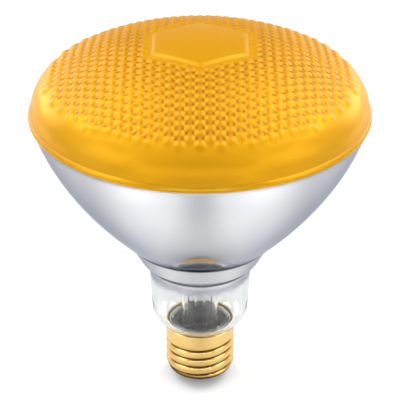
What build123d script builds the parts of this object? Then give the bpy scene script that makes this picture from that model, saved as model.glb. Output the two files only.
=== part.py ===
from build123d import *
import os
from math import acos, atan2, cos, degrees, floor, hypot, pi, radians, sin, sqrt

# Reflector flood bulb with a stippled face, a clear neck and a medium screw base, in millimetres.
# The axis of the bulb is Z. The origin is the tip of the centre contact, and the face looks along +Z.

# Gap left between pieces that are cemented, fused or clamped together
fit = 0.05

# Centre contact
contact_flat_radius = 2.2
solder_radius = 4.2
solder_height = 0.9
eyelet_radius = 5.2
eyelet_thickness = 0.6
eyelet_hole_radius = 1.2

# Black glass insulator
insulator_proud = 0.5
insulator_tip_radius = 6.4
insulator_shoulder_height = 4.0
insulator_depth = 2.6
insulator_dish_radius = 7.0
insulator_dish_depth = 1.2

# Screw shell, seven threads to the inch
thread_pitch = 25.4 / 7
crest_radius = 13.1
root_radius = 12.25
sheet = 0.3
shell_top = 24.0
lip_radius = 10.4
band_bottom = 18.6
band_rise = 0.12
thread_start = 5.4
thread_turns = 4.35
thread_foot = 2.9
thread_shoulder = 1.7
thread_crest = 0.7
thread_shoulder_share = 0.65
rim_curl_radius = 0.35
rim_notch_depth = 0.7

# Glass bulb
glass_wall = 1.2
face_radius = 111.0
shoulder_radius = 13.0
shoulder_lift = 1.22
wall_radius = 59.4
rim_height = 113.2
bead_radius = 1.1
bead_proud = 0.9
reflector_flare = 0.2
reflector_drop = 1.0
reflector_pull = (52.4, 87.0)
reflector_bottom = (26.8, 62.0)
collar_bottom = (22.6, 54.0)
neck_top = (19.7, 51.2)
neck_waist = (18.9, 46.5)
neck_end_radius = 18.2
neck_end_height = 32.1
neck_end_round = 8.2
skirt_radius = 11.2
skirt_bottom = 15.3
crease_fillet = 0.8

# Stipple: six-sided points on a triangular lattice
stipple_pitch = 3.75
stipple_height = 0.7
stipple_valley = 0.1
plain_border = 3.3
stipple_seat_width = 9.0

# Plain six-sided pad in the middle of the face
pad_width = 33.6
pad_bevel = 1.9
pad_rise = 0.55

# Glass stem
flare_lip = 1.0
flare_top = 27.0
stem_radius = 7.0
stem_wall = 1.0
stem_hollow_top = 39.0
press_bottom = 41.0
press_flat_bottom = 46.0
press_top = 53.0
press_width = 14.4
press_thickness = 5.0
exhaust_radius = 2.3
exhaust_bore = 1.5
exhaust_tip = 18.0
rod_radius = 1.6
button_radius = 2.7
button_height = 74.0

# Wires and filament
wire_radius = 0.25
wire_spacing = 8.7
filament_height = 84.0
filament_arc_radius = 9.0
filament_coil_radius = 0.6
support_angle = 45.0
support_start = 0.8
lead_bend = 3.0
rim_bend = 0.6
side_solder_radius = 1.5

# Worked-out places
rim_radius = wall_radius + bead_proud
reflector_top = (wall_radius + reflector_flare, rim_height - reflector_drop)
shoulder_centre_radius = wall_radius - shoulder_radius
shoulder_centre = rim_height + shoulder_lift
face_centre = shoulder_centre - sqrt((face_radius - shoulder_radius) ** 2 - shoulder_centre_radius ** 2)
face_top = face_centre + face_radius
shoulder_start = face_radius * shoulder_centre_radius / (face_radius - shoulder_radius)
shoulder_angle = degrees(atan2(shoulder_centre - face_centre, shoulder_centre_radius))
neck_end_centre = neck_end_radius - neck_end_round
skirt_bore = skirt_radius - glass_wall
bore_radius = root_radius - sheet
band_radius = crest_radius + band_rise
rim_outer_radius = band_radius + rim_curl_radius
insulator_bottom = solder_height + eyelet_thickness - insulator_proud
insulator_top = insulator_shoulder_height + insulator_depth
stipple_zone_radius = wall_radius - plain_border
seat_radius = stipple_zone_radius - stipple_seat_width
seat_height = rim_height + bead_radius
wire_x = wire_spacing / 2
wire_gap = 2 * (wire_radius + fit)
channel_radius = (skirt_radius + bore_radius) / 2
support_turns = (radians(-90 - support_angle), radians(-90 + support_angle))
support_ways = [Vector(cos(turn), sin(turn), 0) for turn in support_turns]
on_end = (Align.CENTER, Align.CENTER, Align.MIN)


def face_level(radius, inset=0.0):
    """Height of the smooth face at a distance from the axis: a sphere, then the round of the shoulder."""
    if radius < shoulder_start:
        return face_centre + sqrt((face_radius - inset) ** 2 - radius ** 2)
    return shoulder_centre + sqrt((shoulder_radius - inset) ** 2 - (radius - shoulder_centre_radius) ** 2)


def draw_bulb(inset, start_radius):
    """Half outline of the bulb, moved in by inset, from the face down to the skirt's lower end."""
    start_angle = degrees(atan2(face_level(start_radius, inset) - face_centre, start_radius))
    CenterArc((0, face_centre), face_radius - inset, shoulder_angle, start_angle - shoulder_angle)
    corner = (shoulder_centre_radius, shoulder_centre)
    shoulder = CenterArc(corner, shoulder_radius - inset, 0, shoulder_angle)
    top, pull, bottom = [(r - inset, z) for r, z in (reflector_top, reflector_pull, reflector_bottom)]
    Line(shoulder @ 0, top)
    Bezier(top, pull, bottom)
    throat = (collar_bottom, neck_top, neck_waist, (neck_end_radius, neck_end_height))
    FilletPolyline(bottom, *[(r - inset, z) for r, z in throat], radius=crease_fillet)
    turn = acos((skirt_radius - inset - neck_end_centre) / (neck_end_round - inset))
    end = CenterArc((neck_end_centre, neck_end_height), neck_end_round - inset, 0, -degrees(turn))
    Line(end @ 1, (skirt_radius - inset, skirt_bottom))


def on_face(x, y, rise):
    """Point above the smooth face, along the line from the centre of its sphere."""
    level = Vector(x, y, face_level(hypot(x, y)) - face_centre)
    return Vector(0, 0, face_centre) + level * (1 + rise / face_radius)


def stipple_points():
    """Middles of the lattice cells that lie wholly inside the stippled zone."""
    column = stipple_pitch * sqrt(3) / 2
    columns = floor(stipple_zone_radius / column) + 1
    rows = floor(stipple_zone_radius / stipple_pitch) + 1
    for i in range(-columns, columns + 1):
        for j in range(-rows, rows + 1):
            x = i * column
            y = (j + (i % 2) / 2) * stipple_pitch
            if hypot(x, y) + stipple_pitch / sqrt(3) < stipple_zone_radius:
                yield x, y


def under_pad(x, y):
    """True for a place that the six-sided pad covers."""
    return max(abs(x * cos(k * pi / 3) + y * sin(k * pi / 3)) for k in range(3)) < pad_width / 2


def stipple_cap():
    """Closed solid with a field of six-sided points on top and a flat bottom."""
    bottom = seat_height - glass_wall
    faces = []
    open_edges = {}

    def plan(point):
        return round(point.X, 3), round(point.Y, 3)

    def lowered(point):
        return Vector(point.X, point.Y, bottom)

    for x, y in stipple_points():
        tip = on_face(x, y, stipple_valley if under_pad(x, y) else stipple_height)
        corners = []
        for k in range(6):
            angle = k * pi / 3
            reach = stipple_pitch / sqrt(3)
            corners.append(on_face(x + reach * cos(angle), y + reach * sin(angle), stipple_valley))
        for a, b in zip(corners, corners[1:] + corners[:1]):
            faces.append(Face(Wire.make_polygon([a, b, tip])))
            if (plan(b), plan(a)) in open_edges:
                del open_edges[(plan(b), plan(a))]
            else:
                open_edges[(plan(a), plan(b))] = (a, b)
    following = {}
    for a, b in open_edges.values():
        faces.append(Face(Wire.make_polygon([b, a, lowered(a), lowered(b)])))
        following[plan(a)] = b
    here = next(iter(following))
    outline = []
    while len(outline) < len(following):
        outline.append(lowered(following[here]))
        here = plan(following[here])
    faces.append(Face(Wire.make_polygon(outline)))
    return Solid(Shell(faces))


# Form of the pad: a six-sided block under a crown that follows the dome, bevelled down to the face
pad_foot = face_level(pad_width / sqrt(3)) - glass_wall / 2
with BuildPart() as pad:
    with BuildSketch(Plane.XY.offset(pad_foot)):
        RegularPolygon(pad_width / 2, 6, major_radius=False, rotation=30)
    extrude(amount=face_top + 2 * pad_rise - pad_foot)
    with Locations((0, 0, face_centre)):
        Sphere(face_radius + pad_rise, mode=Mode.INTERSECT)
    crown = pad.faces().sort_by(Axis.Z)[-1]
    chamfer(crown.edges(), pad_bevel, pad_rise, reference=crown)

# Glass bulb, blown in one piece: stippled face with its pad, rim bead, reflector, neck and skirt
stipple = stipple_cap()
with BuildPart() as glass_envelope:
    with BuildSketch(Plane.XZ):
        with BuildLine():
            draw_bulb(0.0, seat_radius)
            Polyline((skirt_radius, skirt_bottom), (0, skirt_bottom), (0, seat_height),
                     (seat_radius, seat_height), (seat_radius, face_level(seat_radius)))
        make_face()
        with Locations((rim_radius - bead_radius, rim_height)):
            Circle(bead_radius)
    revolve(axis=Axis.Z)
    add(stipple, clean=False)
    add(pad.part, clean=False)
    with BuildSketch(Plane.XZ):
        with BuildLine():
            draw_bulb(glass_wall, 0.0)
            Polyline((skirt_bore, skirt_bottom), (0, skirt_bottom), (0, face_top - glass_wall))
        make_face()
    revolve(axis=Axis.Z, mode=Mode.SUBTRACT, clean=False)

# Glass stem: flare, tube, flat press, exhaust tube, rod and button, fused into one piece
with BuildPart() as glass_stem:
    lip_bottom = skirt_bottom - flare_lip
    with BuildSketch(Plane.XZ):
        with BuildLine():
            Polyline((skirt_radius, skirt_bottom), (skirt_bore, skirt_bottom), (stem_radius, flare_top),
                     (stem_radius, press_bottom), (0, press_bottom), (0, stem_hollow_top),
                     (stem_radius - stem_wall, stem_hollow_top), (stem_radius - stem_wall, flare_top),
                     (skirt_bore - stem_wall, lip_bottom), (skirt_radius, lip_bottom), close=True)
        make_face()
    revolve(axis=Axis.Z)
    with BuildSketch(Plane.XY.offset(press_bottom)):
        Circle(stem_radius)
    with BuildSketch(Plane.XY.offset(press_flat_bottom)):
        SlotOverall(press_width, press_thickness)
    loft()
    with BuildSketch(Plane.XY.offset(press_flat_bottom)):
        SlotOverall(press_width, press_thickness)
    extrude(amount=press_top - press_flat_bottom)
    with BuildSketch(Plane.XZ):
        with Locations((0, exhaust_tip + exhaust_radius)):
            Circle(exhaust_radius)
        with Locations((0, exhaust_tip + exhaust_radius)):
            Rectangle(2 * exhaust_radius, press_bottom - exhaust_tip - exhaust_radius,
                      align=(Align.CENTER, Align.MIN))
        with Locations((0, press_top - stem_wall)):
            Rectangle(2 * rod_radius, button_height - press_top, align=(Align.CENTER, Align.MIN))
        with Locations((0, button_height)):
            Circle(button_radius)
        split(bisect_by=Plane.YZ)
    revolve(axis=Axis.Z)
    with Locations((0, 0, exhaust_tip + exhaust_radius)):
        Cylinder(exhaust_bore, press_bottom - exhaust_tip - exhaust_radius, align=on_end, mode=Mode.SUBTRACT)
    with Locations((-wire_x, 0, stem_hollow_top), (wire_x, 0, stem_hollow_top)):
        Cylinder(wire_radius + fit, press_top - stem_hollow_top, align=on_end, mode=Mode.SUBTRACT)
    with Locations(*[Plane((0, 0, button_height), z_dir=way) for way in support_ways]):
        Cylinder(wire_radius + fit, button_radius, align=on_end, mode=Mode.SUBTRACT)

# Lead wires: down from the filament, through the press, to the centre contact and to the shell's rim
filament_foot = filament_height - filament_coil_radius - fit
lead_shoulder = filament_foot - 2 * lead_bend
lead_elbow = press_top + 2 * lead_bend
wire_under_flare = skirt_bottom - flare_lip - lead_bend
wire_in_notch = shell_top - rim_notch_depth + wire_radius + fit
wire_outside = rim_outer_radius + wire_radius + fit

with BuildPart() as centre_lead_wire:
    with BuildLine() as path:
        FilletPolyline((-filament_arc_radius, 0, filament_foot), (-filament_arc_radius, 0, lead_shoulder),
                       (-wire_x, 0, lead_elbow), (-wire_x, 0, flare_top - lead_bend),
                       (0, 0, insulator_top + lead_bend), (0, 0, solder_height / 2), radius=lead_bend)
    with BuildSketch(Plane(path.line @ 0, z_dir=path.line % 0)):
        Circle(wire_radius)
    sweep()

with BuildPart() as side_lead_wire:
    with BuildLine() as path:
        FilletPolyline((filament_arc_radius, 0, filament_foot), (filament_arc_radius, 0, lead_shoulder),
                       (wire_x, 0, lead_elbow), (wire_x, 0, flare_top - 2 * lead_bend),
                       (0, channel_radius - lead_bend, wire_under_flare),
                       (0, channel_radius, wire_under_flare),
                       (0, channel_radius, wire_in_notch), (0, wire_outside, wire_in_notch),
                       (0, wire_outside, shell_top - side_solder_radius),
                       radius=[lead_bend, lead_bend, lead_bend, rim_bend, rim_bend, rim_bend, rim_bend])
    with BuildSketch(Plane(path.line @ 0, z_dir=path.line % 0)):
        Circle(wire_radius)
    sweep()

# Support wires, from the button out and up to the filament
support_wires = []
for way in support_ways:
    with BuildPart() as support_wire:
        with BuildLine() as path:
            corner = way * filament_arc_radius + Vector(0, 0, button_height)
            FilletPolyline(corner - way * (filament_arc_radius - support_start), corner,
                           corner + Vector(0, 0, filament_foot - button_height), radius=lead_bend)
        with BuildSketch(Plane(path.line @ 0, z_dir=path.line % 0)):
            Circle(wire_radius)
        sweep()
    support_wires.append(support_wire)

# Filament: a coil bent round the front half of a circle
with BuildPart() as filament:
    with BuildSketch(Plane.XZ):
        with Locations((filament_arc_radius, filament_height)):
            Circle(filament_coil_radius)
    revolve(axis=Axis.Z, revolution_arc=-180)

# Screw shell: rolled brass with a turned-in lower edge, a right-hand thread, a plain band and a curled rim
shell_bottom = insulator_shoulder_height - sheet
thread_height = crest_radius - root_radius
thread_base = root_radius - sheet / 2


def draw_ridge(base, middle, spare):
    """Thread ridge from its foot, half a sheet under the root, over the crest, with spare on all sides."""
    flank = (thread_foot - thread_shoulder) / 2 / (thread_height * thread_shoulder_share)
    foot = thread_foot / 2 + flank * sheet / 2 + spare
    shoulder = (base + thread_height * thread_shoulder_share, thread_shoulder / 2 + spare)
    crest = (base + thread_height + spare, thread_crest / 2 + spare)
    Polyline((base - sheet / 2, middle - foot), (shoulder[0], middle - shoulder[1]),
             (crest[0], middle - crest[1]), (crest[0], middle + crest[1]),
             (shoulder[0], middle + shoulder[1]), (base - sheet / 2, middle + foot), close=True)


with BuildPart() as screw_shell:
    with BuildSketch(Plane.XZ):
        with BuildLine():
            Polyline((lip_radius, shell_bottom), (root_radius, shell_bottom), (root_radius, shell_top),
                     (bore_radius, shell_top), (bore_radius, insulator_shoulder_height),
                     (lip_radius, insulator_shoulder_height), close=True)
        make_face()
        with BuildLine():
            draw_ridge(root_radius, thread_start, fit)
        make_face()
    revolve(axis=Axis.Z)
    with BuildLine() as thread_path:
        Helix(thread_pitch, thread_pitch * thread_turns, root_radius, center=(0, 0, thread_start))
    with BuildSketch(Plane(thread_path.line @ 0, x_dir=(1, 0, 0), z_dir=thread_path.line % 0)):
        with BuildLine():
            draw_ridge(0, 0, 0)
        make_face()
    sweep(path=thread_path.line, is_frenet=True, clean=False)
    with BuildSketch(Plane.XZ):
        with BuildLine():
            Polyline((thread_base, band_bottom), (band_radius, band_bottom + band_radius - thread_base),
                     (band_radius, shell_top), (thread_base, shell_top), close=True)
        make_face()
        with Locations((rim_outer_radius - rim_curl_radius, shell_top - rim_curl_radius)):
            Circle(rim_curl_radius)
    revolve(axis=Axis.Z, clean=False)
    with BuildSketch(Plane.XY.offset(shell_top - rim_notch_depth)):
        with Locations((0, rim_outer_radius)):
            Rectangle(wire_gap, 2 * (rim_outer_radius - channel_radius))
    extrude(amount=2 * rim_notch_depth, mode=Mode.SUBTRACT, clean=False)

# Black glass insulator, with a seat for the eyelet and a hole for the wire
with BuildPart() as base_insulator:
    with BuildSketch(Plane.XZ):
        with BuildLine():
            Polyline((wire_radius + 2 * fit, solder_height + eyelet_thickness),
                     (eyelet_radius + fit, solder_height + eyelet_thickness),
                     (eyelet_radius + fit, insulator_bottom),
                     (insulator_tip_radius, insulator_bottom), (lip_radius - fit, shell_bottom),
                     (lip_radius - fit, insulator_shoulder_height + fit),
                     (bore_radius - fit, insulator_shoulder_height + fit),
                     (bore_radius - fit, insulator_top), (insulator_dish_radius, insulator_top),
                     (wire_radius + 2 * fit, insulator_top - insulator_dish_depth), close=True)
        make_face()
    revolve(axis=Axis.Z)

# Eyelet under the insulator
with BuildPart() as contact_eyelet:
    with BuildSketch(Plane.XY.offset(solder_height)):
        Circle(eyelet_radius)
        Circle(eyelet_hole_radius, mode=Mode.SUBTRACT)
    extrude(amount=eyelet_thickness)
    fillet(contact_eyelet.edges().group_by(Axis.Z)[0].sort_by(SortBy.RADIUS)[-1], eyelet_thickness / 2)

# Solder on the eyelet, with a flat worn place at its tip and the end of the centre wire in it
with BuildPart() as contact_solder:
    with BuildSketch(Plane.XZ):
        with BuildLine():
            tip = Polyline((0, solder_height / 2), (0, 0), (contact_flat_radius, 0))
            dome = RadiusArc(tip @ 1, (solder_radius, solder_height), -solder_radius)
            Polyline(dome @ 1, (eyelet_hole_radius - fit, solder_height),
                     (eyelet_hole_radius - fit, solder_height + eyelet_thickness),
                     (wire_radius + fit, solder_height + eyelet_thickness),
                     (wire_radius + fit, solder_height / 2), (0, solder_height / 2))
        make_face()
    revolve(axis=Axis.Z)

# Solder over the end of the side wire, just under the shell's rim
with BuildPart() as side_solder:
    with Locations((0, wire_outside, shell_top - side_solder_radius)):
        Sphere(side_solder_radius)
    Cylinder(rim_outer_radius + fit, 2 * shell_top, mode=Mode.SUBTRACT)
    with Locations((0, wire_outside, shell_top - side_solder_radius - fit)):
        Cylinder(wire_radius + fit, 2 * side_solder_radius, align=on_end, mode=Mode.SUBTRACT)

# Cement between the skirt and the shell, with a channel for the side wire
with BuildPart() as basing_cement:
    with BuildSketch(Plane.XZ):
        with BuildLine():
            Polyline((skirt_radius + fit, skirt_bottom), (bore_radius - fit, skirt_bottom),
                     (bore_radius - fit, shell_top - rim_curl_radius),
                     (skirt_radius + fit, shell_top - rim_curl_radius), close=True)
        make_face()
    revolve(axis=Axis.Z)
    with Locations((0, channel_radius, skirt_bottom)):
        Box(wire_gap, bore_radius - skirt_radius, shell_top - skirt_bottom, align=on_end, mode=Mode.SUBTRACT)

# One file for each piece
os.makedirs("parts", exist_ok=True)
pieces = {
    "glass_envelope": glass_envelope,
    "glass_stem": glass_stem,
    "centre_lead_wire": centre_lead_wire,
    "side_lead_wire": side_lead_wire,
    "left_support_wire": support_wires[0],
    "right_support_wire": support_wires[1],
    "filament": filament,
    "screw_shell": screw_shell,
    "base_insulator": base_insulator,
    "contact_eyelet": contact_eyelet,
    "contact_solder": contact_solder,
    "side_solder": side_solder,
    "basing_cement": basing_cement,
}
for name, piece in pieces.items():
    piece.part.label = name
    export_step(piece.part, f"parts/{name}.step")
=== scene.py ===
from math import acos, atan2, ceil, cos, hypot, pi, radians, sin, sqrt

import bmesh
import bpy
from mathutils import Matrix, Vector


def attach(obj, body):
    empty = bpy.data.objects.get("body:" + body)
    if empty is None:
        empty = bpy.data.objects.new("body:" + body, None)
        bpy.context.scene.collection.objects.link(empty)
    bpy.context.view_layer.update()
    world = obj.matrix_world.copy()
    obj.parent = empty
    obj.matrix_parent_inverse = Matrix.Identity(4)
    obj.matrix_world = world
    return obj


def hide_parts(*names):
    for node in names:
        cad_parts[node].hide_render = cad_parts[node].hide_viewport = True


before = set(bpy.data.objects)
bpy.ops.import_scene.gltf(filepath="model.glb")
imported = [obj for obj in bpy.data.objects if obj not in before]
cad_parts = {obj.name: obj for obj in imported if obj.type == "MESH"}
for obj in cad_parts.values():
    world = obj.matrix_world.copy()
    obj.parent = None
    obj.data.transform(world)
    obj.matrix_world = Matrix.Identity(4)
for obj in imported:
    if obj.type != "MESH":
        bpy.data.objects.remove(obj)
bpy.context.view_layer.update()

MM = 0.001

# Sizes of the glass bulb in millimetres, as in the solids
glass_wall = 1.2
face_top = 139.1
face_radius = 111.0
shoulder_radius = 13.0
wall_radius = 59.4
rim_height = 113.2
rim_radius = 60.3
bead_radius = 1.1
reflector_top = (59.6, 112.2)
reflector_pull = (52.4, 87.0)
reflector_bottom = (26.8, 62.0)
collar_bottom = (22.6, 54.0)
neck_top = (19.7, 51.2)
neck_waist = (18.9, 46.5)
neck_end_radius = 18.2
neck_end_height = 32.1
neck_end_round = 8.2
skirt_radius = 11.2
skirt_bottom = 15.3

# Rounds of the glass at the creases of the funnel and the neck, and at the foot of the rim bead
crease_fillet = 0.9
bead_foot_out = 0.02
bead_foot_up = 0.12
bead_from = radians(66)
bead_to = radians(-62)

# Stipple and pad, on a lattice of small triangles with several steps to a bump
stipple_pitch = 3.75
stipple_height = 0.7
stipple_zone_radius = 56.1
lattice_steps = 6
field_radius = 56.6
field_border = 0.5
pad_rise = 0.55
pad_outer_lines = 31
pad_inner_lines = 28

# Coating limits along the axis
coat_bottom = 112.0
silver_full = 50.6
silver_gone = 45.0

# Share of the silver's brightness left by the painted shade in the creases and by the painted dark
# reflection just above the throat
crease_shade = 0.25
throat_shade = 0.14
throat_height = 6.0

# Screw shell
thread_pitch = 25.4 / 7
crest_radius = 13.1
root_radius = 12.25
sheet = 0.3
shell_bottom = 3.7
shell_top = 24.0
lip_radius = 10.4
band_bottom = 18.6
band_radius = 13.22
thread_start = 5.4
rim_curl_radius = 0.35
rim_notch_depth = 0.7
rim_notch_half = 0.3
lip_round = 1.0
thread_fade_start = 0.4
thread_fade_end = 2.4
band_blend = 0.5
shell_rows = 130

# Steps round the axis
round_steps = 200

face_centre = face_top - face_radius
shoulder_centre_radius = wall_radius - shoulder_radius
shoulder_centre = face_centre + sqrt((face_radius - shoulder_radius) ** 2 - shoulder_centre_radius ** 2)
shoulder_angle = atan2(shoulder_centre - face_centre, shoulder_centre_radius)
neck_end_centre = neck_end_radius - neck_end_round
pole_angle = radians(89.7)


def arc(centre, radius, start, end, steps):
    """Points of an arc in the half plane of radius and height."""
    turns = [start + (end - start) * i / steps for i in range(steps + 1)]
    return [(centre[0] + radius * cos(t), centre[1] + radius * sin(t)) for t in turns]


def pull_curve(a, b, c, steps):
    """Points of a curve from a to c, pulled towards b."""
    points = []
    for i in range(steps + 1):
        t = i / steps
        u = 1 - t
        points.append(tuple(u * u * p + 2 * u * t * q + t * t * r for p, q, r in zip(a, b, c)))
    return points


def rounded(points, radius, steps):
    """A line of points with each inner corner turned into a small arc."""
    out = [points[0]]
    for before, here, after in zip(points, points[1:], points[2:]):
        here = Vector(here)
        back = (Vector(before) - here).normalized()
        ahead = (Vector(after) - here).normalized()
        half = acos(max(-1.0, min(1.0, back.dot(ahead)))) / 2
        reach = min(radius / max(sin(half), 1e-6) * cos(half), 0.45 * (Vector(before) - here).length,
                    0.45 * (Vector(after) - here).length)
        out += pull_curve(here + back * reach, here, here + ahead * reach, steps)
    out.append(points[-1])
    return [tuple(p) for p in out]


def spread(points, longest):
    """The same line with more points, so that no step is longer than asked."""
    out = [points[0]]
    for a, b in zip(points, points[1:]):
        count = max(1, ceil(hypot(b[0] - a[0], b[1] - a[1]) / longest))
        shares = [i / count for i in range(1, count + 1)]
        out += [(a[0] + (b[0] - a[0]) * share, a[1] + (b[1] - a[1]) * share) for share in shares]
    return out


def face_level(radius):
    """Height of the smooth outside of the face, with its rounded shoulder, at a distance from the axis."""
    if radius < face_radius * cos(shoulder_angle):
        return face_centre + sqrt(face_radius ** 2 - radius ** 2)
    return shoulder_centre + sqrt(shoulder_radius ** 2 - (radius - shoulder_centre_radius) ** 2)


def bulb_line(inset, coarse):
    """Half outline of the bulb under the stippled field, moved in by inset, down to the end of the skirt."""
    shoulder = (shoulder_centre_radius, shoulder_centre)
    if inset:
        line = arc((0, face_centre), face_radius - inset, pole_angle, shoulder_angle, 16)
        line += arc(shoulder, shoulder_radius - inset, shoulder_angle, 0, 10)[1:]
    else:
        start = acos((field_radius + field_border - shoulder_centre_radius) / shoulder_radius)
        line = arc(shoulder, shoulder_radius, start, 0, 18)
        line += [(wall_radius + bead_foot_out, rim_height + bead_radius + bead_foot_up)]
        line += arc((rim_radius - bead_radius, rim_height), bead_radius, bead_from, bead_to, 14)
    top, pull, bottom = [(r - inset, z) for r, z in (reflector_top, reflector_pull, reflector_bottom)]
    funnel = pull_curve(top, pull, bottom, int(32 / coarse))
    line += funnel[:-1]
    neck_end = (neck_end_radius, neck_end_height)
    neck = [(r - inset, z) for r, z in (collar_bottom, neck_top, neck_waist, neck_end)]
    line += spread(rounded(funnel[-2:] + neck, crease_fillet, 5)[1:], 1.8 * coarse)
    turn = acos((skirt_radius - inset - neck_end_centre) / (neck_end_round - inset))
    line += arc((neck_end_centre, neck_end_height), neck_end_round - inset, 0, -turn, int(16 / coarse))[1:]
    line += spread([line[-1], (skirt_radius - inset, skirt_bottom)], 2.0 * coarse)[1:]
    return line


def six_sided(x, y):
    """Distance from the axis to the side of the pad that a place lies towards."""
    return max(abs(x * cos(k * pi / 3) + y * sin(k * pi / 3)) for k in range(3))


line_gap = stipple_pitch / lattice_steps * sqrt(3) / 2
pad_outer = pad_outer_lines * line_gap
pad_inner = pad_inner_lines * line_gap
bump_reach = stipple_pitch / sqrt(3)
bump_radius = (bump_reach ** 2 + stipple_height ** 2) / (2 * stipple_height)
# Reach of the painted shade round each pit between bumps
pit_reach = 1.6 * bump_reach


def near_bumps(x, y):
    """Distances from a place on the face to the middles of the bumps round it, nearest first."""
    column = stipple_pitch * sqrt(3) / 2
    gaps = []
    first = round(x / column)
    for i in (first - 1, first, first + 1):
        shift = (i % 2) / 2
        row = round(y / stipple_pitch - shift)
        for j in (row - 1, row, row + 1):
            cx, cy = i * column, (j + shift) * stipple_pitch
            if hypot(cx, cy) + bump_reach < stipple_zone_radius and six_sided(cx, cy) > pad_outer:
                gaps.append(hypot(x - cx, y - cy))
    return sorted(gaps)


def face_point(x, y):
    """Place on the outside of the face over a place in plan, and a share for the painted shade of the pits:
    0 in a pit between bumps, 1 elsewhere.
    """
    gaps = near_bumps(x, y)
    nearest = min(gaps[:1] + [bump_reach])
    bump = sqrt(bump_radius ** 2 - nearest ** 2) - sqrt(bump_radius ** 2 - bump_reach ** 2)
    share = max(0.0, min(1.0, (pad_outer - six_sided(x, y)) / (pad_outer - pad_inner)))
    grow = 1 + max(pad_rise * share, bump) / face_radius
    level = face_level(hypot(x, y)) - face_centre
    # Share for the painted shade: 0 in the pits where three bumps meet, rising to 1 away from them
    shade_relief = ease(bump_reach, pit_reach, gaps[2]) if len(gaps) > 2 else 1.0
    return (x * grow, y * grow, face_centre + level * grow), shade_relief


def mesh_piece(name, points, faces, slots, face_slots):
    """A smooth mesh object in metres from points in millimetres."""
    mesh = bpy.data.meshes.new(name)
    mesh.from_pydata([(x * MM, y * MM, z * MM) for x, y, z in points], [], faces)
    for material in slots:
        mesh.materials.append(material)
    mesh.polygons.foreach_set("material_index", face_slots)
    mesh.polygons.foreach_set("use_smooth", [True] * len(faces))
    shape = bmesh.new()
    shape.from_mesh(mesh)
    bmesh.ops.recalc_face_normals(shape, faces=shape.faces)
    shape.to_mesh(mesh)
    shape.free()
    piece = bpy.data.objects.new(name, mesh)
    bpy.context.scene.collection.objects.link(piece)
    return piece


def edge_loop(faces, points):
    """The open edge of a sheet of triangles, in order round the axis."""
    ahead = {}
    for face in faces:
        for a, b in zip(face, face[1:] + face[:1]):
            if ahead.get(b) == {a}:
                del ahead[b]
            elif a in ahead.get(b, ()):
                ahead[b].discard(a)
            else:
                ahead.setdefault(a, set()).add(b)
    start = next(iter(ahead))
    loop = [start]
    while True:
        following = next(iter(ahead[loop[-1]]))
        if following == start:
            break
        loop.append(following)
    first = min(range(len(loop)), key=lambda k: turn_of(points[loop[k]]))
    return loop[first:] + loop[:first]


def turn_of(point):
    """Angle about the axis, from nought to a whole turn."""
    return atan2(point[1], point[0]) % (2 * pi)


def zip_loops(inner, outer, points):
    """Triangles between two closed loops that both go round the axis the same way."""
    faces = []
    i = j = 0
    while i < len(inner) or j < len(outer):
        a, b = inner[i % len(inner)], outer[j % len(outer)]
        next_a, next_b = inner[(i + 1) % len(inner)], outer[(j + 1) % len(outer)]
        ahead_a = turn_of(points[next_a]) + (2 * pi if i + 1 >= len(inner) else 0)
        ahead_b = turn_of(points[next_b]) + (2 * pi if j + 1 >= len(outer) else 0)
        if j >= len(outer) or (i < len(inner) and ahead_a <= ahead_b):
            faces.append((a, b, next_a))
            i += 1
        else:
            faces.append((a, b, next_b))
            j += 1
    return faces


def build_envelope(coat, silver, clear):
    """The glass bulb as one closed shell: stippled face, pad, rim bead, funnel, neck and skirt."""
    points, shade_relief, faces, kinds = [], [], [], []
    step = stipple_pitch / lattice_steps
    columns = int(field_radius / line_gap) + 2
    rows = int(field_radius / step) + 2
    index = {}
    for i in range(-columns, columns + 1):
        for j in range(-rows, rows + 1):
            x, y = i * line_gap, (j + (i % 2) / 2) * step
            if hypot(x, y) < field_radius:
                place, height = face_point(x, y)
                index[i, j] = len(points)
                points.append(place)
                shade_relief.append(height)
    for i in range(-columns, columns + 1):
        for j in range(-rows, rows + 1):
            side = j if i % 2 == 0 else j + 1
            for trio in (((i, j), (i + 1, side - 1), (i + 1, side)), ((i, j), (i + 1, side), (i, j + 1))):
                if all(key in index for key in trio):
                    faces.append(tuple(index[key] for key in trio))
    loop = edge_loop(faces, points)
    for v in loop:
        turn = turn_of(points[v])
        points[v] = (field_radius * cos(turn), field_radius * sin(turn), face_level(field_radius))
    kinds += [0] * len(faces)

    outer = bulb_line(0.0, 1)
    inner = bulb_line(glass_wall, 2)[::-1]
    rings = []
    for r, z in outer + inner:
        rings.append(range(len(points), len(points) + round_steps))
        for k in range(round_steps):
            turn = 2 * pi * k / round_steps
            points.append((r * cos(turn), r * sin(turn), z))
            shade_relief.append(1.0)
    joined = zip_loops(loop, list(rings[0]), points)
    faces += joined
    kinds += [0] * len(joined)
    levels = [z for r, z in outer + inner]
    for row, (ring, below) in enumerate(zip(rings, rings[1:])):
        middle = (levels[row] + levels[row + 1]) / 2
        kind = 1 if middle > silver_gone else 2
        if middle > coat_bottom:
            kind = 0 if row < len(outer) else 2
        for k in range(round_steps):
            n = (k + 1) % round_steps
            faces.append((ring[k], below[k], below[n], ring[n]))
            kinds.append(kind)
    pole = len(points)
    points.append((0, 0, face_top - glass_wall))
    shade_relief.append(1.0)
    for k in range(round_steps):
        faces.append((rings[-1][k], pole, rings[-1][(k + 1) % round_steps]))
        kinds.append(2)
    piece = mesh_piece("bulb_glass", points, faces, [coat, silver, clear], kinds)
    layer = piece.data.attributes.new("shade_relief", "FLOAT", "POINT")
    layer.data.foreach_set("value", shade_relief)
    return piece


def ease(low, high, value):
    """Smooth step from 0 at low to 1 at high."""
    t = max(0.0, min(1.0, (value - low) / (high - low)))
    return t * t * (3 - 2 * t)


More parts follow.
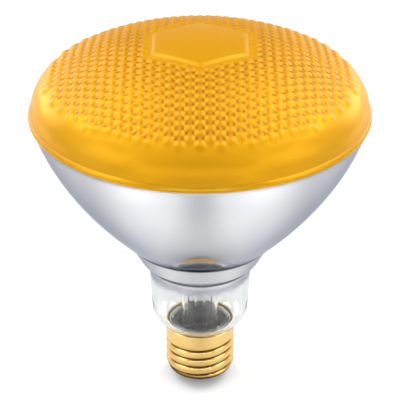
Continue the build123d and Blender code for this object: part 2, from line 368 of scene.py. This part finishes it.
def shell_radius(turn, z):
    """Outside radius of the rolled screw shell at an angle about the axis and a height."""
    phase = ((z - thread_start) / thread_pitch - turn / (2 * pi)) % 1.0
    away = min(phase, 1 - phase) * 2
    ridge = 1 - away ** 3
    fade = ease(shell_bottom + thread_fade_start, shell_bottom + thread_fade_end, z)
    radius = root_radius + (crest_radius - root_radius) * ridge * fade
    return radius + (band_radius - radius) * ease(band_bottom - band_blend, band_bottom + band_blend, z)


def build_shell(brass):
    """The screw shell as one closed thin wall: turned-in lip, thread, band and curled, notched rim."""
    points, shade_relief, faces, rows = [], [], [], []
    half = rim_notch_half / band_radius
    turns = [2 * pi * k / round_steps for k in range(round_steps)]
    turns += [pi / 2 + side * gap for side in (-1, 1) for gap in (half, 1.2 * half)]
    turns.sort()
    for turn in turns:
        notched = abs(turn - pi / 2) < 1.1 * half
        top = shell_top - rim_notch_depth if notched else shell_top
        bottom = shell_bottom + lip_round
        reach = top - 2 * rim_curl_radius - bottom
        heights = [bottom + reach * i / shell_rows for i in range(shell_rows + 1)]
        line = [(lip_radius, shell_bottom)]
        foot = shell_radius(turn, bottom)
        line += arc((foot - lip_round, bottom), lip_round, -pi / 2, 0, 8)[:-1]
        line += [(shell_radius(turn, z), z) for z in heights]
        line += arc((band_radius, top - rim_curl_radius), rim_curl_radius, -pi / 3, pi, 12)
        line += [(shell_radius(turn, z) - sheet, z) for z in heights[::-2]]
        line += [(foot - sheet - lip_round, shell_bottom + sheet), (lip_radius, shell_bottom + sheet)]
        rows.append(range(len(points), len(points) + len(line)))
        points += [(r * cos(turn), r * sin(turn), z) for r, z in line]
        # Share of the thread's height, for the painted shade in the grooves
        shade_relief += [(r - root_radius) / (crest_radius - root_radius) for r, z in line]
    size = len(rows[0])
    for here, there in zip(rows, rows[1:] + rows[:1]):
        for m in range(size):
            n = (m + 1) % size
            faces.append((here[m], there[m], there[n], here[n]))
    piece = mesh_piece("brass_shell", points, faces, [brass], [0] * len(faces))
    layer = piece.data.attributes.new("shade_relief", "FLOAT", "POINT")
    layer.data.foreach_set("value", shade_relief)
    return piece


def new_material(name):
    """A material with an empty surface shader, and a helper that adds and joins nodes."""
    material = bpy.data.materials.new(name)
    material.use_nodes = True
    nodes, links = material.node_tree.nodes, material.node_tree.links
    shader = nodes["Principled BSDF"]

    def node(kind, inputs=None, **settings):
        made = nodes.new(kind)
        for key, value in settings.items():
            setattr(made, key, value)
        for key, value in (inputs or {}).items():
            if isinstance(value, bpy.types.NodeSocket):
                links.new(value, made.inputs[key])
            else:
                made.inputs[key].default_value = value
        return made

    return material, shader, node, links


def colour_ramp(node, factor, stops):
    """A ramp of colours fed by a socket."""
    ramp = node("ShaderNodeValToRGB", {"Fac": factor})
    items = ramp.color_ramp.elements
    while len(items) < len(stops):
        items.new(0.5)
    for item, (place, colour) in zip(items, stops):
        item.position = place
        item.color = (*colour, 1.0)
    return ramp.outputs["Color"]


def value_range(node, value, low, high, to_low, to_high):
    """A socket's value carried from one range to another and held at its ends."""
    inputs = {"Value": value, "From Min": low, "From Max": high, "To Min": to_low, "To Max": to_high}
    return node("ShaderNodeMapRange", inputs).outputs["Result"]


def noise(node, scale, detail, roughness, stretch=(1, 1, 1)):
    """Noise in the object's own space."""
    place = node("ShaderNodeTexCoord").outputs["Object"]
    mapped = node("ShaderNodeMapping", {"Vector": place, "Scale": stretch}).outputs["Vector"]
    inputs = {"Vector": mapped, "Scale": scale, "Detail": detail, "Roughness": roughness}
    return node("ShaderNodeTexNoise", inputs).outputs["Fac"]


def coat_material():
    """Yellow coat fired onto the glass face, darker in the pits between the bumps: partly a thicker coat,
    partly painted shade.
    """
    material, shader, node, links = new_material("yellow_coat")
    shade_relief = node("ShaderNodeAttribute", attribute_name="shade_relief").outputs["Fac"]
    cloud = noise(node, 60.0, 3.0, 0.5)
    mixed = node("ShaderNodeMath", {0: shade_relief, 1: value_range(node, cloud, 0.3, 0.7, -0.06, 0.06)},
                 operation="ADD").outputs[0]
    # Painted shade: deep red-brown in the pits, full yellow on the bumps and plain glass
    colour = colour_ramp(node, mixed, [(0.0, (0.4, 0.11, 0.008)), (0.35, (0.76, 0.31, 0.009)),
                                       (0.8, (0.96, 0.455, 0.009)), (1.0, (0.97, 0.465, 0.009))])
    links.new(colour, shader.inputs["Base Color"])
    links.new(value_range(node, cloud, 0.3, 0.7, 0.29, 0.35), shader.inputs["Roughness"])
    shader.inputs["Metallic"].default_value = 0.1
    shader.inputs["Specular IOR Level"].default_value = 0.1
    shader.inputs["Specular Tint"].default_value = (1.0, 0.72, 0.2, 1.0)
    shader.inputs["Transmission Weight"].default_value = 0.55
    shader.inputs["IOR"].default_value = 1.38
    return material


def silver_material():
    """Aluminium mirror of the funnel, with painted shade in the creases and a painted dark reflection just
    above the throat, thinning out down the neck.
    """
    material, shader, node, links = new_material("silvered_glass")
    place = node("ShaderNodeTexCoord").outputs["Object"]
    height = node("ShaderNodeSeparateXYZ", {"Vector": place}).outputs["Z"]
    cloud = noise(node, 90.0, 2.0, 0.5)
    shift = value_range(node, cloud, 0.3, 0.7, -0.6 * MM, 0.6 * MM)
    uneven = node("ShaderNodeMath", {0: height, 1: shift}, operation="ADD").outputs[0]
    cover = value_range(node, uneven, silver_gone * MM, silver_full * MM, 0.0, 1.0)
    bare = value_range(node, uneven, silver_gone * MM, silver_full * MM, 1.0, 0.0)
    links.new(cover, shader.inputs["Metallic"])
    links.new(bare, shader.inputs["Transmission Weight"])
    tint = colour_ramp(node, cover, [(0.0, (0.95, 0.96, 0.97)), (0.25, (0.66, 0.67, 0.71)),
                                     (0.7, (0.5, 0.51, 0.56)), (1.0, (0.84, 0.85, 0.87))])
    # Painted shade along the creases at the bottom of the funnel and the top of the neck
    for crease in (reflector_bottom[1], neck_top[1]):
        away = node("ShaderNodeMath", {0: height, 1: crease * MM}, operation="SUBTRACT").outputs[0]
        away = node("ShaderNodeMath", {0: away}, operation="ABSOLUTE").outputs[0]
        light = value_range(node, away, 0.25 * crease_fillet * MM, crease_fillet * MM, crease_shade, 1.0)
        tint = node("ShaderNodeVectorMath", {0: tint, 1: light}, operation="MULTIPLY").outputs[0]
    # Painted dark reflection: a band just above the throat, darkest at the crease
    throat = reflector_bottom[1] * MM
    above = value_range(node, height, throat, throat + throat_height * MM, throat_shade, 1.0)
    below = value_range(node, height, throat - 0.5 * crease_fillet * MM, throat, 1.0, 0.0)
    light = node("ShaderNodeMath", {0: above, 1: below}, operation="MAXIMUM").outputs[0]
    tint = node("ShaderNodeVectorMath", {0: tint, 1: light}, operation="MULTIPLY").outputs[0]
    links.new(tint, shader.inputs["Base Color"])
    links.new(value_range(node, cloud, 0.3, 0.7, 0.03, 0.07), shader.inputs["Roughness"])
    shader.inputs["IOR"].default_value = 1.5
    shader.inputs["Specular Tint"].default_value = (0.5, 0.52, 0.58, 1.0)
    return material


def clear_material(name, tint):
    """Clear lamp glass with faint drawing streaks."""
    material, shader, node, links = new_material(name)
    streak = noise(node, 220.0, 2.0, 0.5, (1, 1, 0.15))
    links.new(value_range(node, streak, 0.35, 0.75, 0.0, 0.03), shader.inputs["Roughness"])
    shader.inputs["Base Color"].default_value = (*tint, 1.0)
    shader.inputs["Transmission Weight"].default_value = 1.0
    shader.inputs["IOR"].default_value = 1.5
    return material


def metal_material(name, dark, light, roughness, scale, stretch):
    """Bright or dull metal with a streaked tarnish."""
    material, shader, node, links = new_material(name)
    streak = noise(node, scale, 4.0, 0.6, stretch)
    links.new(colour_ramp(node, streak, [(0.3, dark), (0.7, light)]), shader.inputs["Base Color"])
    links.new(value_range(node, streak, 0.3, 0.7, roughness[0], roughness[1]), shader.inputs["Roughness"])
    shader.inputs["Metallic"].default_value = 1.0
    return material


def thread_material():
    """Rolled brass, bright on the crests of the thread, with painted shade that darkens it to near black at
    the bottom of its grooves.
    """
    material, shader, node, links = new_material("rolled_brass")
    shade_relief = node("ShaderNodeAttribute", attribute_name="shade_relief").outputs["Fac"]
    streak = noise(node, 40.0, 4.0, 0.6, (1, 1, 6))
    uneven = node("ShaderNodeMath", {0: shade_relief, 1: value_range(node, streak, 0.3, 0.7, -0.1, 0.1)},
                  operation="ADD").outputs[0]
    # Painted shade: near black at the bottom of the grooves, brightest on the crests
    colour = colour_ramp(node, uneven, [(0.0, (0.05, 0.02, 0.005)), (0.35, (0.22, 0.1, 0.02)),
                                        (0.65, (0.84, 0.53, 0.17)), (1.0, (0.95, 0.66, 0.24))])
    links.new(colour, shader.inputs["Base Color"])
    links.new(value_range(node, streak, 0.3, 0.7, 0.16, 0.28), shader.inputs["Roughness"])
    shader.inputs["Metallic"].default_value = 1.0
    return material


def dull_material(name, dark, light, roughness, scale):
    """Black glass or cement, with a mottled colour and a fine grain."""
    material, shader, node, links = new_material(name)
    grain = noise(node, scale, 5.0, 0.6)
    links.new(colour_ramp(node, grain, [(0.3, dark), (0.7, light)]), shader.inputs["Base Color"])
    links.new(value_range(node, grain, 0.3, 0.7, roughness[0], roughness[1]), shader.inputs["Roughness"])
    bump = node("ShaderNodeBump", {"Height": grain, "Strength": 0.15, "Distance": 0.0003})
    links.new(bump.outputs["Normal"], shader.inputs["Normal"])
    return material


coat = coat_material()
silver = silver_material()
clear = clear_material("clear_glass", (0.96, 0.975, 0.97))
brass = metal_material("eyelet_brass", (0.86, 0.55, 0.2), (0.95, 0.69, 0.28), (0.16, 0.28), 40.0, (1, 1, 6))
wire = metal_material("nickel_wire", (0.06, 0.058, 0.055), (0.14, 0.135, 0.125), (0.3, 0.45), 300.0,
                      (1, 1, 0.2))
tungsten = metal_material("tungsten", (0.18, 0.18, 0.2), (0.32, 0.32, 0.34), (0.35, 0.5), 400.0, (1, 1, 1))
solder = metal_material("solder", (0.5, 0.5, 0.51), (0.68, 0.68, 0.69), (0.28, 0.45), 500.0, (1, 1, 1))
black = dull_material("black_glass", (0.012, 0.012, 0.015), (0.03, 0.03, 0.035), (0.08, 0.2), 250.0)
cement = dull_material("cement", (0.84, 0.81, 0.79), (0.94, 0.91, 0.89), (0.8, 0.95), 600.0)

bulb = build_envelope(coat, silver, clear)
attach(bulb, "root")
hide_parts("glass_envelope")

shell = build_shell(thread_material())
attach(shell, "root")
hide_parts("screw_shell")

stem = clear_material("stem_glass", (0.95, 0.965, 0.96))
dressed = {
    "glass_stem": stem,
    "centre_lead_wire": wire,
    "side_lead_wire": wire,
    "left_support_wire": wire,
    "right_support_wire": wire,
    "filament": tungsten,
    "base_insulator": black,
    "contact_eyelet": brass,
    "contact_solder": solder,
    "side_solder": solder,
    "basing_cement": cement,
}
for name, material in dressed.items():
    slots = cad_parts[name].data.materials
    slots.clear()
    slots.append(material)

# Pale floor with painted light and shade: painted whiter to the eye than in the mirror of the funnel, which
# also shows a painted duller middle strip, and painted lighter under the bulb and darker round the floor
# spots
floor_half = 3.0
floor_drop = 0.0002
painted_camera_lift = 1.35
painted_strip_shade = 0.76
floor_corners = [(x * floor_half, y * floor_half, 0) for x, y in ((-1, -1), (1, -1), (1, 1), (-1, 1))]
floor_mesh = bpy.data.meshes.new("floor")
floor_mesh.from_pydata(floor_corners, [], [(0, 1, 2, 3)])
floor = bpy.data.objects.new("floor", floor_mesh)
floor.location.z = -floor_drop
bpy.context.scene.collection.objects.link(floor)
pale, pale_shader, pale_node, pale_links = new_material("pale_floor")
pale_place = pale_node("ShaderNodeTexCoord").outputs["Object"]
pale_away = pale_node("ShaderNodeVectorMath", {0: pale_place}, operation="LENGTH").outputs["Value"]
# Painted light right under the bulb and painted shade round the floor spots, rising to the pale floor far
# away
pale_colour = colour_ramp(pale_node, value_range(pale_node, pale_away, 0.0, 0.9, 0.0, 1.0),
                          [(0.03, (0.66, 0.66, 0.66)), (0.1, (0.47, 0.47, 0.47)), (0.15, (0.47, 0.47, 0.47)),
                           (1.0, (0.93, 0.93, 0.93))])
# Painted light: the floor's colour is lifted for camera rays only
pale_seen = pale_node("ShaderNodeLightPath").outputs["Is Camera Ray"]
pale_x = pale_node("ShaderNodeSeparateXYZ", {"Vector": pale_place}).outputs["X"]
pale_side = pale_node("ShaderNodeMath", {0: pale_x}, operation="ABSOLUTE").outputs[0]
# Painted shade: a duller middle strip along the axis that only the mirror of the funnel sees
pale_strip = value_range(pale_node, pale_side, 0.006, 0.03, painted_strip_shade, 1.0)
pale_lift = value_range(pale_node, pale_seen, 0.0, 1.0, pale_strip, painted_camera_lift)
pale_lit = pale_node("ShaderNodeVectorMath", {0: pale_colour, 1: pale_lift}, operation="MULTIPLY")
pale_links.new(pale_lit.outputs[0], pale_shader.inputs["Base Color"])
pale_shader.inputs["Roughness"].default_value = 0.7
floor_mesh.materials.append(pale)


def put_lamp(name, lamp, place, target):
    """Set a lamp at one place, facing another."""
    item = bpy.data.objects.new(name, lamp)
    item.location = place
    item.rotation_euler = (Vector(target) - Vector(place)).to_track_quat("-Z", "Y").to_euler()
    bpy.context.scene.collection.objects.link(item)


def soft_box(name, place, target, width, height, power):
    """A large soft lamp that faces a place."""
    lamp = bpy.data.lights.new(name, "AREA")
    lamp.shape = "RECTANGLE"
    lamp.size = width
    lamp.size_y = height
    lamp.energy = power
    put_lamp(name, lamp, place, target)


middle = (0, 0, 0.07)
behind = (0.0, 0.45, 0.0)
soft_box("top_left_light", (-0.55, 0.3, 1.0), middle, 0.7, 0.6, 7.4)
soft_box("top_right_light", (0.55, 0.3, 1.0), middle, 0.7, 0.6, 7.4)
soft_box("back_left_light", (-0.8, 0.9, 0.4), behind, 0.9, 0.5, 5.0)
soft_box("back_right_light", (0.8, 0.9, 0.4), behind, 0.9, 0.5, 5.0)
soft_box("front_light", (0.0, -1.0, 0.3), middle, 1.4, 0.4, 3.4)
soft_box("left_light", (-0.85, -0.4, 0.45), middle, 0.5, 0.6, 2.5)
soft_box("right_light", (0.85, -0.4, 0.45), middle, 0.5, 0.6, 2.4)


def floor_spot(name, place, target, power):
    """A soft round patch of light on the floor."""
    lamp = bpy.data.lights.new(name, "SPOT")
    lamp.energy = power
    lamp.spot_size = radians(12)
    lamp.spot_blend = 1.0
    lamp.shadow_soft_size = 0.05
    put_lamp(name, lamp, place, target)


floor_spot("left_spot", (-0.25, -0.35, 0.25), (-0.092, -0.1, 0.0), 42.0)
floor_spot("right_spot", (0.25, -0.35, 0.25), (0.092, -0.1, 0.0), 42.0)

world = bpy.data.worlds.new("studio")
bpy.context.scene.world = world
world.use_nodes = True
sky_nodes, sky_links = world.node_tree.nodes, world.node_tree.links
ways = sky_nodes.new("ShaderNodeTexCoord")


def dark_side(way, low, high, left):
    """Share of the sky's light that is left round one direction."""
    facing = sky_nodes.new("ShaderNodeVectorMath")
    facing.operation = "DOT_PRODUCT"
    facing.inputs[1].default_value = way
    sky_links.new(ways.outputs["Generated"], facing.inputs[0])
    share = sky_nodes.new("ShaderNodeMapRange")
    share.inputs["From Min"].default_value = low
    share.inputs["From Max"].default_value = high
    share.inputs["To Min"].default_value = 1.0
    share.inputs["To Max"].default_value = left
    sky_links.new(facing.outputs["Value"], share.inputs["Value"])
    return share.outputs["Result"]


sky_light = sky_nodes.new("ShaderNodeMath")
sky_light.operation = "MULTIPLY"
sky_links.new(dark_side((0.0, -0.94, 0.34), 0.75, 0.95, 0.03), sky_light.inputs[0])
sky_links.new(dark_side((0.0, 0.68, 0.73), 0.7, 0.95, 0.12), sky_light.inputs[1])
sky_strength = 0.7
sky_level = sky_nodes.new("ShaderNodeMath")
sky_level.operation = "MULTIPLY"
sky_level.inputs[1].default_value = sky_strength
sky_links.new(sky_light.outputs[0], sky_level.inputs[0])
sky_links.new(sky_level.outputs[0], sky_nodes["Background"].inputs["Strength"])
sky_nodes["Background"].inputs["Color"].default_value = (0.95, 0.97, 1.0, 1.0)

# Camera in front of the bulb, looking down on its face
sensor_width = 36.0
picture_width = 400.0
focal_length = 1363.5
look_down = 0.5149
camera_data = bpy.data.cameras.new("camera")
camera_data.sensor_width = sensor_width
camera_data.lens = sensor_width * focal_length / picture_width
camera_data.clip_start = 0.01
camera = bpy.data.objects.new("camera", camera_data)
camera.location = (0.0, -0.4337, 0.3215)
camera.rotation_euler = (pi / 2 - look_down, 0.0, 0.0)
bpy.context.scene.collection.objects.link(camera)
bpy.context.scene.camera = camera
bpy.context.scene.view_settings.view_transform = "Standard"
